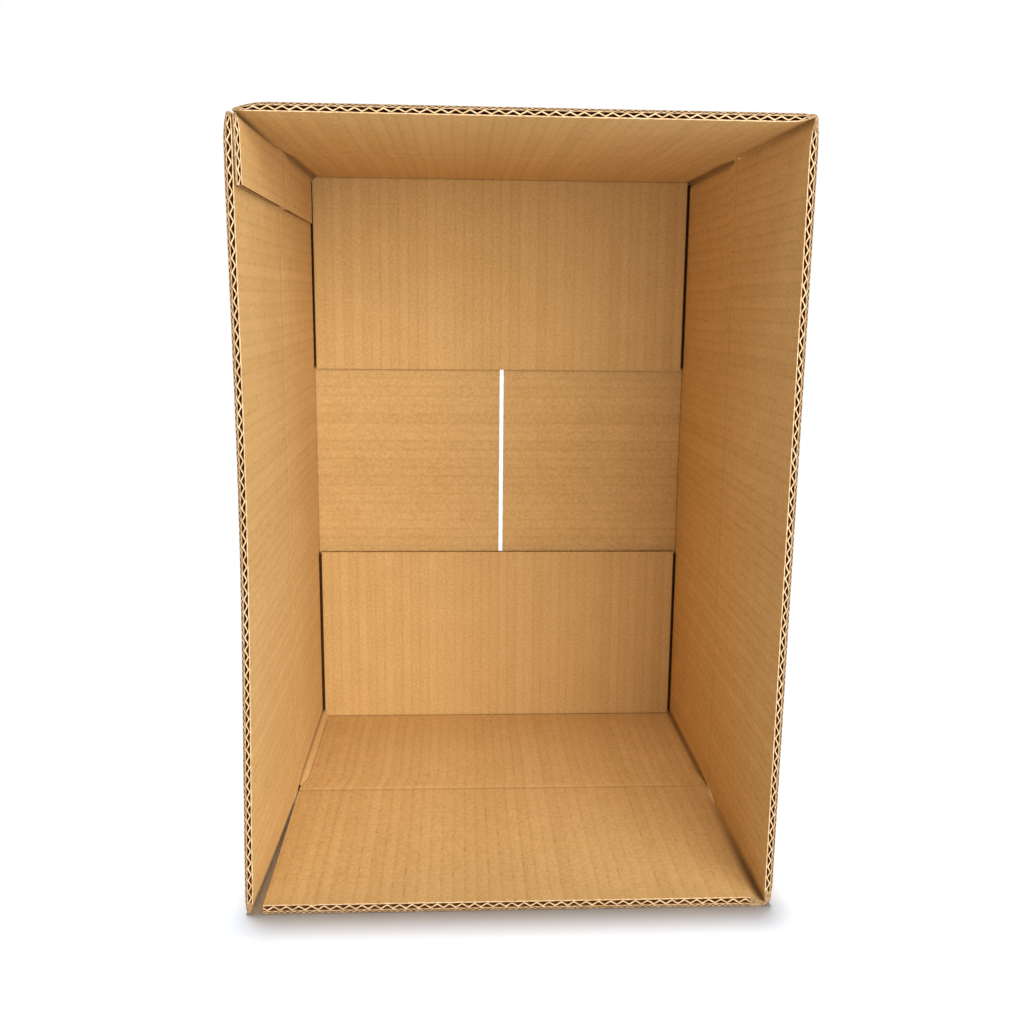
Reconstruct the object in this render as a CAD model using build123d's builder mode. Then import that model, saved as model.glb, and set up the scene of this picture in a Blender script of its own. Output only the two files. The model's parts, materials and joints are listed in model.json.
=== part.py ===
"""Open slotted carton of double-wall corrugated board, lying on one of its end walls.

Millimetres. X runs across the mouth, Y into the box, Z up. The mouth faces -Y and the base +Y.
The origin is under the middle of the box, on the surface that it lies on.
"""

import os
from math import radians, tan

from build123d import *

os.makedirs("parts", exist_ok=True)

# Room inside the box
inner_width = 260.0
inner_length = 385.0
inner_depth = 124.0

# Board: inner liner, main flutes, then a layer of fine flutes between two more liners
board = 3.9
inner_liner = 0.45
fine_layer = 1.3
flute_pitch = 6.4
flute_wall = 0.55

# Flaps and glue tab
end_flap_length = 135.7
upper_base_reach = 128.6
lower_base_reach = 124.8
base_slit = 4.2
slit_offset = 1.5
tab_width = 31.0
tab_thickness_share = 0.77

# Folds: depth of the fold line under the inner face, travel to either side of flat, and play
fold_depth_share = 2 / 3
fold_in_angle = 90.0
fold_out_angle = 120.0
fold_play = 0.1
stack_gap = 0.3
crushed_margin = 12.0

# Slots beside the flaps, and the slot that widens towards the rim
mouth_slot = 0.5
inner_base_slot = 2.2
outer_base_slot = 1.0
slot_flare = 1.6
rim_margin = 6.0

# Upright corners, crushed to a facet inside and a bevel outside
corner_facet = 3.0
corner_bevel_share = 0.65

# Board layers and fold geometry
tab_board = board * tab_thickness_share
fold_depth = board * fold_depth_share
fold_cover = board - fold_depth
flute_height = board - inner_liner - fine_layer
inner_bevel_slope = tan(radians(fold_in_angle / 2))
outer_bevel_slope = tan(radians(fold_out_angle / 2))
inner_bevel = fold_play + fold_depth * inner_bevel_slope
outer_bevel = fold_play + fold_cover * outer_bevel_slope
bevel_reach = max(inner_bevel, outer_bevel)

# Fold lines across the end walls, and those across the side walls that lie outside them
end_fold_spacing = inner_depth + fold_depth
base_stack = board + stack_gap
total_depth = end_flap_length + end_fold_spacing + base_stack + fold_cover
rim_y = -total_depth / 2
end_mouth_y = rim_y + end_flap_length
end_base_y = end_mouth_y + end_fold_spacing
right_mouth_y = end_mouth_y - base_stack
left_mouth_y = right_mouth_y - tab_board
side_base_y = end_base_y + base_stack
floor_y = end_base_y - fold_depth

# Wall faces and fold lines seen from the front
side_face_x = inner_width / 2
side_fold_x = side_face_x + fold_depth
tab_face_x = -side_face_x + tab_board
lower_face_z = board
upper_face_z = board + inner_length
lower_fold_z = lower_face_z - fold_depth
upper_fold_z = upper_face_z + fold_depth
middle_z = board + inner_length / 2
tab_edge_z = upper_face_z - tab_width

left, right = Vector(-1, 0, 0), Vector(1, 0, 0)
front, back = Vector(0, -1, 0), Vector(0, 1, 0)
down, up = Vector(0, 0, -1), Vector(0, 0, 1)


def fold_plane(origin, along, outward):
    """Section plane on a fold line: x runs along the panel, y towards the outer face, zero on the line."""
    return Plane(origin=origin, x_dir=along, z_dir=along.cross(outward))


def edge_plane(fold, length):
    """Plane of a flap's free edge: x runs along the edge, y towards the outer face."""
    return Plane(origin=fold.origin + fold.x_dir * length, x_dir=-fold.z_dir, z_dir=fold.x_dir)


def flap_profile(fold, length):
    """Section of a flap, bevelled on both faces at the fold and square at its free edge."""
    with BuildSketch(fold) as profile:
        with BuildLine():
            Polyline(
                (fold_play, 0),
                (inner_bevel, -fold_depth),
                (length, -fold_depth),
                (length, fold_cover),
                (outer_bevel, fold_cover),
                close=True,
            )
        make_face()
    return profile.sketch


def wall_profile(fold, spacing):
    """Section of a wall between its two fold lines, bevelled on both faces at each."""
    with BuildSketch(fold) as profile:
        with BuildLine():
            Polyline(
                (fold_play, 0),
                (inner_bevel, -fold_depth),
                (spacing - inner_bevel, -fold_depth),
                (spacing - fold_play, 0),
                (spacing - outer_bevel, fold_cover),
                (outer_bevel, fold_cover),
                close=True,
            )
        make_face()
    return profile.sketch


def tab_profile(fold, length):
    """Section of the glue tab on a panel's inner face, bevelled where the fold closes on it."""
    tab_face = -fold_depth - tab_board
    with BuildSketch(fold) as profile:
        with BuildLine():
            Polyline(
                (inner_bevel, -fold_depth),
                (length, -fold_depth),
                (length, tab_face),
                (inner_bevel + tab_board * inner_bevel_slope, tab_face),
                close=True,
            )
        make_face()
    return profile.sketch


def flute_profile(edge, width, inner_face, thickness):
    """Open ends of the main flutes along a cut edge: one triangle on each liner for every wave."""
    squeeze = thickness / board
    low = inner_face + inner_liner * squeeze
    high = low + flute_height * squeeze
    half_base = flute_pitch / 2 - flute_wall
    height = (high - low) * half_base / (flute_pitch / 2)
    waves = int((width - 2 * rim_margin) // flute_pitch)
    with BuildSketch(edge) as profile:
        with GridLocations(flute_pitch, 0, waves, 1):
            Polygon((-half_base, low), (half_base, low), (0, low + height))
        with GridLocations(flute_pitch, 0, waves - 1, 1):
            Polygon((-half_base, high), (0, high - height), (half_base, high))
    return profile.sketch


def cut_flutes(fold, length, width, inner_face, thickness):
    """Open the main flutes of the flap being built, from its free edge to the board crushed by the fold."""
    edge = edge_plane(fold, length)
    openings = flute_profile(edge, width, inner_face, thickness)
    extrude(openings, amount=crushed_margin - length, mode=Mode.SUBTRACT)


def add_fluted_flap(fold, length, width):
    """Add a flap of plain board with open flutes to the part being built."""
    extrude(flap_profile(fold, length), amount=width / 2, both=True)
    cut_flutes(fold, length, width, -fold_depth, board)


def corner_profile(sketch_plane, x_sign, z_face, z_sign):
    """Section of an upright corner outside the walls' inner faces, bevelled where the board turns."""
    bevel = board * corner_bevel_share
    x_face, x_out = x_sign * side_face_x, x_sign * (side_face_x + board)
    z_out = z_face + z_sign * board
    with BuildSketch(sketch_plane) as profile:
        Polygon(
            (x_face, z_face),
            (x_out, z_face),
            (x_out, z_out - z_sign * bevel),
            (x_out - x_sign * bevel, z_out),
            (x_face, z_out),
        )
    return profile.sketch


def facet_profile(sketch_plane, x_face, x_sign, z_face, z_sign):
    """Section of the crushed strip that fills an inside corner."""
    with BuildSketch(sketch_plane) as profile:
        Polygon(
            (x_face, z_face),
            (x_face - x_sign * corner_facet, z_face),
            (x_face, z_face - z_sign * corner_facet),
        )
    return profile.sketch


# Flap lengths from fold line to free edge
left_flap_length = left_mouth_y - rim_y
right_flap_length = right_mouth_y - rim_y
upper_base_length = fold_depth + upper_base_reach
lower_base_length = fold_depth + lower_base_reach
left_base_length = side_fold_x + slit_offset - base_slit / 2
right_base_length = side_fold_x - slit_offset - base_slit / 2

# Flap widths along the fold lines
lower_flap_width = inner_width - 2 * mouth_slot
upper_flap_width = inner_width - tab_board - 2 * mouth_slot
side_flap_width = inner_length - 2 * mouth_slot
lower_base_width = inner_width - 2 * inner_base_slot
upper_base_width = lower_base_width - tab_board
outer_base_width = inner_length - 2 * outer_base_slot

# Walls: two end walls, two side walls, four corners and the tab that closes the sleeve
side_walls = [
    (fold_plane(Vector(-side_fold_x, left_mouth_y, middle_z), back, left), side_base_y - left_mouth_y),
    (fold_plane(Vector(side_fold_x, right_mouth_y, middle_z), back, right), side_base_y - right_mouth_y),
]
end_walls = [
    fold_plane(Vector(0, end_mouth_y, lower_fold_z), back, down),
    fold_plane(Vector(0, end_mouth_y, upper_fold_z), back, up),
]
tab_plane = fold_plane(Vector(-side_fold_x, left_mouth_y, upper_face_z), back, left)
corner_end = Plane.XZ.offset(bevel_reach - end_base_y)
corner_depth = end_fold_spacing - 2 * bevel_reach
facet_end = Plane.XZ.offset(fold_play - floor_y)
facet_depth = inner_depth - bevel_reach - mouth_slot - fold_play

with BuildPart() as wall_sleeve:
    for wall_fold in end_walls:
        extrude(wall_profile(wall_fold, end_fold_spacing), amount=inner_width / 2, both=True)
    for wall_fold, wall_spacing in side_walls:
        extrude(wall_profile(wall_fold, wall_spacing), amount=inner_length / 2, both=True)
    for x_sign in (-1, 1):
        for z_face, z_sign in ((lower_face_z, -1), (upper_face_z, 1)):
            extrude(corner_profile(corner_end, x_sign, z_face, z_sign), amount=corner_depth)
            tabbed = x_sign < 0 < z_sign
            x_face = tab_face_x if tabbed else x_sign * side_face_x
            extrude(facet_profile(facet_end, x_face, x_sign, z_face, z_sign), amount=facet_depth)
    extrude(tab_profile(tab_plane, floor_y - left_mouth_y), amount=tab_width, dir=down)

# Mouth flaps, standing in line with their walls
lower_fold = fold_plane(Vector(0, end_mouth_y, lower_fold_z), front, down)
flare_x = mouth_slot - side_face_x
with BuildPart() as lower_mouth_flap:
    add_fluted_flap(lower_fold, end_flap_length, lower_flap_width)
    with BuildSketch(Plane.XY):
        Polygon((flare_x, end_mouth_y), (flare_x, rim_y), (flare_x + slot_flare, rim_y))
    extrude(amount=board, mode=Mode.SUBTRACT)

upper_fold = fold_plane(Vector(tab_board / 2, end_mouth_y, upper_fold_z), front, up)
with BuildPart() as upper_mouth_flap:
    add_fluted_flap(upper_fold, end_flap_length, upper_flap_width)

right_fold = fold_plane(Vector(side_fold_x, right_mouth_y, middle_z), front, right)
with BuildPart() as right_mouth_flap:
    add_fluted_flap(right_fold, right_flap_length, side_flap_width)

# The glue tab carries on over the left mouth flap, so this flap is double along its upper strip
left_fold = fold_plane(Vector(-side_fold_x, left_mouth_y, middle_z), front, left)
strip_width = tab_width - mouth_slot
strip_fold = fold_plane(Vector(-side_fold_x, left_mouth_y, tab_edge_z + strip_width / 2), front, left)
with BuildPart() as left_mouth_flap:
    add_fluted_flap(left_fold, left_flap_length, side_flap_width)
    extrude(tab_profile(strip_fold, left_flap_length), amount=strip_width / 2, both=True)
    cut_flutes(strip_fold, left_flap_length, strip_width, -fold_depth - tab_board, tab_board)

# Inner base flaps, folded in from the end walls
lower_base_fold = fold_plane(Vector(0, end_base_y, lower_fold_z), up, back)
with BuildPart() as lower_inner_base_flap:
    add_fluted_flap(lower_base_fold, lower_base_length, lower_base_width)

upper_base_fold = fold_plane(Vector(tab_board / 2, end_base_y, upper_fold_z), down, back)
with BuildPart() as upper_inner_base_flap:
    add_fluted_flap(upper_base_fold, upper_base_length, upper_base_width)

# Outer base flaps, folded in over them from the side walls until a narrow slit is left
left_base_fold = fold_plane(Vector(-side_fold_x, side_base_y, middle_z), right, back)
with BuildPart() as left_outer_base_flap:
    add_fluted_flap(left_base_fold, left_base_length, outer_base_width)

right_base_fold = fold_plane(Vector(side_fold_x, side_base_y, middle_z), left, back)
with BuildPart() as right_outer_base_flap:
    add_fluted_flap(right_base_fold, right_base_length, outer_base_width)

pieces = {
    "wall_sleeve": wall_sleeve,
    "lower_mouth_flap": lower_mouth_flap,
    "upper_mouth_flap": upper_mouth_flap,
    "right_mouth_flap": right_mouth_flap,
    "left_mouth_flap": left_mouth_flap,
    "lower_inner_base_flap": lower_inner_base_flap,
    "upper_inner_base_flap": upper_inner_base_flap,
    "left_outer_base_flap": left_outer_base_flap,
    "right_outer_base_flap": right_outer_base_flap,
}
for name, piece in pieces.items():
    piece.part.label = name
    export_step(piece.part, f"parts/{name}.step")
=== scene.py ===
"""Looks of an open carton of double-wall corrugated board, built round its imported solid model.

Metres, in the model's frame: X runs across the mouth, Y into the box and Z up.
Every sheet of the board is built: three liners with main and fine flutes between them, open at
the cut edges, crushed at the folds and at the flaps' corners.
"""

import json
import logging
from dataclasses import dataclass, field, replace
from enum import Enum, IntEnum
from math import pi, radians, tau

import bpy
import numpy as np
from mathutils import Matrix, Vector


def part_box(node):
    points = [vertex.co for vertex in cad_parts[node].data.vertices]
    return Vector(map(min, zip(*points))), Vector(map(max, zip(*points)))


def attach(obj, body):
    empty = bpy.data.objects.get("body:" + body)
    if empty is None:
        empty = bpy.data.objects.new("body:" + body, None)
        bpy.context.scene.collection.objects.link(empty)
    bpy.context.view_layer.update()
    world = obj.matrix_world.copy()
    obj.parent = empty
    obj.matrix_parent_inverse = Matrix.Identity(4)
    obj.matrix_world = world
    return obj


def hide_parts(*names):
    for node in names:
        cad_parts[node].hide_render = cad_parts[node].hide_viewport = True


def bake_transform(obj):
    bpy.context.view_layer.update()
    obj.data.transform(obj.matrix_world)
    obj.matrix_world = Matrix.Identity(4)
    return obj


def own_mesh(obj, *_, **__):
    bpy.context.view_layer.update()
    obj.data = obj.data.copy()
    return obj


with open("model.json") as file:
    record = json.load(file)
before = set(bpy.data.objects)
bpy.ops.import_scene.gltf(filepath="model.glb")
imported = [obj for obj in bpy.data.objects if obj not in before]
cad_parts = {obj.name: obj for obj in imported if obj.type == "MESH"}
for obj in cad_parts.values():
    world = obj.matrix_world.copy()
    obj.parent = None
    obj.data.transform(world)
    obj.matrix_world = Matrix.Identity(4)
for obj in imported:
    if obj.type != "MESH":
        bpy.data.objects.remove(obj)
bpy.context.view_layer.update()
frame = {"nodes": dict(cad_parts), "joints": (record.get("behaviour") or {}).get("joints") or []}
log = logging.getLogger("carton")

Array = np.ndarray
Colour = tuple[float, float, float, float]
Papers = list[bpy.types.Material]
UV_MAP = "board"
SHADE_MAP = "press"
SHARP = radians(38)
FRONT = np.array([0.0, -1.0, 0.0])
BACK = -FRONT


def srgb(red: int, green: int, blue: int) -> Colour:
    """Linear colour of an 8-bit display colour, by the sRGB curve, with alpha 1."""
    shown = np.array([red, green, blue]) / 255
    return (*np.where(shown <= 0.04045, shown / 12.92, ((shown + 0.055) / 1.055) ** 2.4).tolist(), 1.0)


def ease(value: Array | float, low: float, high: float) -> Array:
    """Smooth step: 0 at low, 1 at high and beyond, and 3x^2 - 2x^3 between them."""
    share = np.clip((np.asarray(value, float) - low) / (high - low), 0, 1)
    return share * share * (3 - 2 * share)


def bell(value: Array, middle: float, width: float) -> Array:
    """Bell curve: 1 in the middle, and e to the power of minus the square beside it."""
    return np.exp(-(((value - middle) / width) ** 2))


def linked(name: str, data: bpy.types.ID) -> bpy.types.Object:
    """New object, linked to the scene.

    Args:
        name: the object's name.
        data: its mesh, lamp or camera.
    Returns:
        The object, at the origin.
    """
    made = bpy.data.objects.new(name, data)
    bpy.context.scene.collection.objects.link(made)
    return made


class Paper(IntEnum):
    """Material slots of every piece, in order."""

    INNER = 0
    OUTER = 1
    EDGE = 2
    MEDIUM = 3
    RIND = 4
    # Dark paper on the glue tab's free edge: painted shadow.
    CREASE = 5


class Side(Enum):
    """The box's four walls, each with its outward direction."""

    LOWER = (0, 0, -1)
    UPPER = (0, 0, 1)
    LEFT = (-1, 0, 0)
    RIGHT = (1, 0, 0)

    @property
    def outward(self) -> Array:
        """Unit vector out of the box."""
        return np.array(self.value, float)

    @property
    def across(self) -> Array:
        """Unit vector along the wall, across its flutes."""
        return np.abs(np.cross(self.value, (0, 1, 0))).astype(float)


class Value:
    """A shader socket in Python arithmetic: each operator adds one Math node."""

    def __init__(self, graph: "Graph", socket: bpy.types.NodeSocket) -> None:
        """Keep the socket and the node tree that it belongs to."""
        self.graph = graph
        self.socket = socket

    def math(self, operation: str, *operands: "Value | float") -> "Value":
        """Math node of an operation on the operands, in order."""
        return self.graph.node("ShaderNodeMath", dict(enumerate(operands)), operation=operation)

    def __add__(self, other: "Value | float") -> "Value":
        """Sum."""
        return self.math("ADD", self, other)

    def __sub__(self, other: "Value | float") -> "Value":
        """Difference."""
        return self.math("SUBTRACT", self, other)

    def __rsub__(self, other: float) -> "Value":
        """Difference from a number."""
        return self.math("SUBTRACT", other, self)

    def __mul__(self, other: "Value | float") -> "Value":
        """Product."""
        return self.math("MULTIPLY", self, other)

    def __abs__(self) -> "Value":
        """Absolute value."""
        return self.math("ABSOLUTE", self)

    __radd__ = __add__
    __rmul__ = __mul__


class Graph:
    """Node tree of a material or of the world."""

    def __init__(self, owner: bpy.types.Material | bpy.types.World) -> None:
        """Start with an empty tree.

        Args:
            owner: the material or the world that holds it.
        """
        self.owner = owner
        owner.use_nodes = True
        self.tree = owner.node_tree
        self.tree.nodes.clear()

    def node(self, kind: str, inputs: dict | None = None, output: int | str = 0, **settings) -> Value:
        """Add a node: its settings first, then the values or links of its sockets.

        Args:
            kind: the node's type.
            inputs: numbers, colours or values by socket name or index.
            output: name or index of the socket to return.
            settings: properties of the node.
        Returns:
            The chosen output socket.
        """
        made = self.tree.nodes.new(kind)
        for name, setting in settings.items():
            setattr(made, name, setting)
        for key, given in (inputs or {}).items():
            if isinstance(given, Value):
                self.tree.links.new(given.socket, made.inputs[key])
            else:
                made.inputs[key].default_value = given
        return Value(self, made.outputs[output])

    def mix(self, share: Value | float, first: Value | Colour, second: Value | Colour) -> Value:
        """Colour between two colours, by a share from 0 to 1."""
        colours = {0: share, 6: first, 7: second}
        return self.node("ShaderNodeMix", colours, 2, data_type="RGBA")

    def band(self, value: Value, low: float, high: float) -> Value:
        """Smooth step of a value, from 0 at low to 1 at high."""
        limits = {"Value": value, "From Min": low, "From Max": high}
        return self.node("ShaderNodeMapRange", limits, interpolation_type="SMOOTHSTEP")

    def noise(self, vector: Value, scale: float, detail: float = 2.0) -> Value:
        """Noise from 0 to 1 at a point."""
        return self.node("ShaderNodeTexNoise", {"Vector": vector, "Scale": scale, "Detail": detail})

    def part(self, vector: Value, axis: str) -> Value:
        """One coordinate of a vector."""
        return self.node("ShaderNodeSeparateXYZ", {0: vector}, axis)

    def plane(self, x: Value, y: Value) -> Value:
        """Vector of two coordinates."""
        return self.node("ShaderNodeCombineXYZ", {"X": x, "Y": y})

    def chance(self, seed: Value) -> Value:
        """Number from 0 to 1 that a seed always gives."""
        return self.node("ShaderNodeTexWhiteNoise", {"W": seed}, "Value", noise_dimensions="1D")

    def weigh(self, values: tuple[Value, ...], shares: tuple[float, ...]) -> Value:
        """Sum of values, each times its share."""
        return sum(value * share for value, share in zip(values, shares))

    def bump(self, height: Value, strength: float, distance: float) -> Value:
        """Normal of a height that is felt through the shading alone."""
        sockets = {"Strength": strength, "Distance": distance, "Height": height}
        return self.node("ShaderNodeBump", sockets)

    def surface(self, **sockets: Value | Colour | float) -> bpy.types.Material:
        """Finish a material with the principled shader, whose sockets are named with underscores."""
        named = {name.replace("_", " "): given for name, given in sockets.items()}
        return self.finish(self.node("ShaderNodeBsdfPrincipled", named), "ShaderNodeOutputMaterial")

    def finish(self, shader: Value, output: str) -> bpy.types.Material | bpy.types.World:
        """Link the shader to an output node and return the owner."""
        self.tree.links.new(shader.socket, self.tree.nodes.new(output).inputs["Surface"])
        return self.owner


@dataclass(frozen=True)
class KraftLiner:
    """Brown kraft liner: pressed flute lines, short dark dashes on them, mottled fibres, and painted
    shade.

    Widths on either side of a flute line are shares of a flute, where the mark fades out and where
    it is whole. Bands and breaks are spans of noise over which a mark comes in. line_weight is the
    least weight of a line and its spread, and dash_depth the depth along Y where dashes end. tones
    weigh chance for each flute, streaks, mottle, fibre and the distance from a line, whose share
    paints the washboard's shade, paler midway between the lines. reliefs weigh fibre, mottle, line
    and dash in the bump.
    """

    name: str
    deep: Colour = srgb(194, 152, 89)
    pale: Colour = srgb(229, 191, 130)
    ink: Colour = srgb(130, 86, 42)
    # Dark brown of painted shade, laid over the liner where the mesh's shade map is high.
    pressed: Colour = srgb(84, 50, 20)
    lines_per_flute: float = 1.0
    line_width: tuple[float, float] = (0.2, 0.02)
    line_weight: tuple[float, float] = (0.5, 0.9)
    line_band: tuple[float, float] = (0.3, 0.6)
    line_floor: float = 0.4
    line_strength: float = 0.26
    dash_width: tuple[float, float] = (0.075, 0.025)
    dash_breaks: tuple[float, float] = (0.57, 0.63)
    dash_strength: float = 0.24
    dash_depth: float = 0.11
    dash_fade: float = 0.02
    seed_step: float = 3.71
    seed_shift: float = 0.37
    streak_scale: tuple[float, float] = (0.61, 0.02)
    mottle_scale: float = 55.0
    fibre_scale: float = 620.0
    fibre_band: tuple[float, float] = (0.3, 0.7)
    speck_scale: float = 420.0
    speck_band: tuple[float, float] = (0.70, 0.78)
    speck_strength: float = 0.2
    tones: tuple[float, ...] = (0.16, 0.14, 0.34, 0.4, 0.06)
    reliefs: tuple[float, ...] = (0.5, 0.5, -0.6, -0.5)
    bump_strength: float = 0.12
    bump_depth: float = 0.0004
    roughness: float = 0.86
    sheen_level: float = 0.25

    def material(self) -> bpy.types.Material:
        """Build the liner's nodes.

        Returns:
            The material, which reads the board's own map: across the flutes, then along them.
        """
        g = Graph(bpy.data.materials.new(self.name))
        place = g.node("ShaderNodeUVMap", uv_map=UV_MAP)
        across, along = g.part(place, "X") * self.lines_per_flute, g.part(place, "Y")
        point = g.node("ShaderNodeTexCoord", output="Object")
        flute = across.math("ROUND", across)
        off_line = abs(across - flute)

        breaks = g.noise(g.plane(flute * self.seed_step, along), 1.0)
        base, spread = self.line_weight
        weight = base + spread * g.chance(flute + self.seed_shift)
        broken = self.line_floor + (1 - self.line_floor) * g.band(breaks, *self.line_band)
        line = g.band(off_line, *self.line_width) * broken * weight
        dash = g.band(off_line, *self.dash_width) * g.band(breaks, *self.dash_breaks)
        dash = dash * g.band(g.part(point, "Y"), self.dash_depth, self.dash_depth - self.dash_fade)

        stretch, run = self.streak_scale
        streak = g.noise(g.plane(across * stretch, along * run), 1.0, detail=3.0)
        mottle = g.noise(point, self.mottle_scale, detail=4.0)
        fibre = g.band(g.noise(point, self.fibre_scale, detail=3.0), *self.fibre_band)
        speck = g.band(g.noise(point, self.speck_scale, detail=1.0), *self.speck_band)
        chance = g.chance(across.math("FLOOR", across))

        # Painted shade of the washboard: the distance from a flute line makes the paper paler midway
        # between lines.
        tone = g.weigh((chance, streak, mottle, fibre, off_line), self.tones)
        paper = g.mix(tone, self.deep, self.pale)
        paper = g.mix(line * self.line_strength, paper, self.deep)
        paper = g.mix(dash * self.dash_strength, paper, self.ink)
        paper = g.mix(speck * self.speck_strength, paper, self.ink)
        # Painted shade: the paper darkens towards the dark brown by the mesh's per-point map, in
        # corners, folds, slots and crushed ends.
        press = g.node("ShaderNodeAttribute", output="Fac", attribute_name=SHADE_MAP)
        relief = g.weigh((fibre, mottle, line, dash), self.reliefs)
        return g.surface(
            Base_Color=g.mix(press, paper, self.pressed),
            Roughness=self.roughness,
            Specular_IOR_Level=self.sheen_level,
            Normal=g.bump(relief, self.bump_strength, self.bump_depth),
        )


@dataclass(frozen=True)
class CutPaper:
    """Paper seen on a cut or torn edge, or inside the flutes: pulp colour with loose fibres.

    glow stands for light that seeps through the thin paper into the flutes.
    """

    name: str
    colour: Colour
    deep: Colour
    glow: float = 0.0
    grain: float = 700.0
    grain_band: tuple[float, float] = (0.35, 0.7)
    bump_strength: float = 0.3
    bump_depth: float = 0.0002
    roughness: float = 0.95
    sheen_level: float = 0.1

    def material(self) -> bpy.types.Material:
        """Build the nodes: two pulp colours mixed by fine noise, and a fibrous bump.

        Returns:
            The material.
        """
        g = Graph(bpy.data.materials.new(self.name))
        fibre = g.noise(g.node("ShaderNodeTexCoord", output="Object"), self.grain, detail=3.0)
        if self.glow:
            g.owner.cycles.emission_sampling = "NONE"
        return g.surface(
            Base_Color=g.mix(g.band(fibre, *self.grain_band), self.deep, self.colour),
            Roughness=self.roughness,
            Specular_IOR_Level=self.sheen_level,
            Normal=g.bump(fibre, self.bump_strength, self.bump_depth),
            Emission_Color=self.deep,
            Emission_Strength=self.glow,
        )


@dataclass(frozen=True)
class Board:
    """Section of the double-wall board, from its inner face at 0 to its outer face."""

    thickness: float
    pitch: float = 0.0064
    inner_liner: float = 0.0005
    fine_layer: float = 0.0013
    middle_liner: float = 0.00026
    outer_liner: float = 0.0003
    main_paper: float = 0.00065
    fine_paper: float = 0.00022
    pillow: float = 0.0001
    dent_depth: float = 0.0003
    dent_width: float = 0.0016
    sharpness: float = 0.97

    @property
    def crest(self) -> float:
        """Level where the main flutes meet the middle liner."""
        return self.thickness - self.fine_layer

    @property
    def shelf(self) -> float:
        """Level where the fine flutes stand on the middle liner."""
        return self.crest + self.middle_liner

    @property
    def roof(self) -> float:
        """Level where the fine flutes meet the outer liner."""
        return self.thickness - self.outer_liner

    def wave(self, s: Array, pitch: float) -> Array:
        """Rounded triangle wave from -1 to 1: the arc sine of a sine that stops short of 1."""
        return np.arcsin(self.sharpness * np.sin(tau * s / pitch)) / np.arcsin(self.sharpness)

    def pillows(self, s: Array) -> Array:
        """Swelling of the inner liner between its glue lines: a rectified sine across the flutes."""
        return self.pillow * np.abs(np.sin(pi * s / self.pitch))

    def dents(self, s: Array, places: tuple[float, ...]) -> Array:
        """Grooves pressed into the inner liner along some flutes: a bell curve at each place."""
        return self.dent_depth * sum((bell(s, place, self.dent_width) for place in places), 0 * s)

    def medium(self, s: Array, fine: bool) -> tuple[Array, Array]:
        """Lower and upper face of a fluted sheet, which fills the room between two liners.

        Args:
            s: stations across the flutes.
            fine: whether it is the sheet of fine flutes, two for each main one.
        Returns:
            Levels of the two faces at each station.
        """
        low, high, paper, pitch = (
            (self.shelf, self.roof, self.fine_paper, self.pitch / 2)
            if fine
            else (self.inner_liner, self.crest, self.main_paper, self.pitch)
        )
        middle, swing = (low + high) / 2, (high - low - paper) / 2
        line = middle + swing * self.wave(s, pitch)
        return line - paper / 2, line + paper / 2


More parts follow.
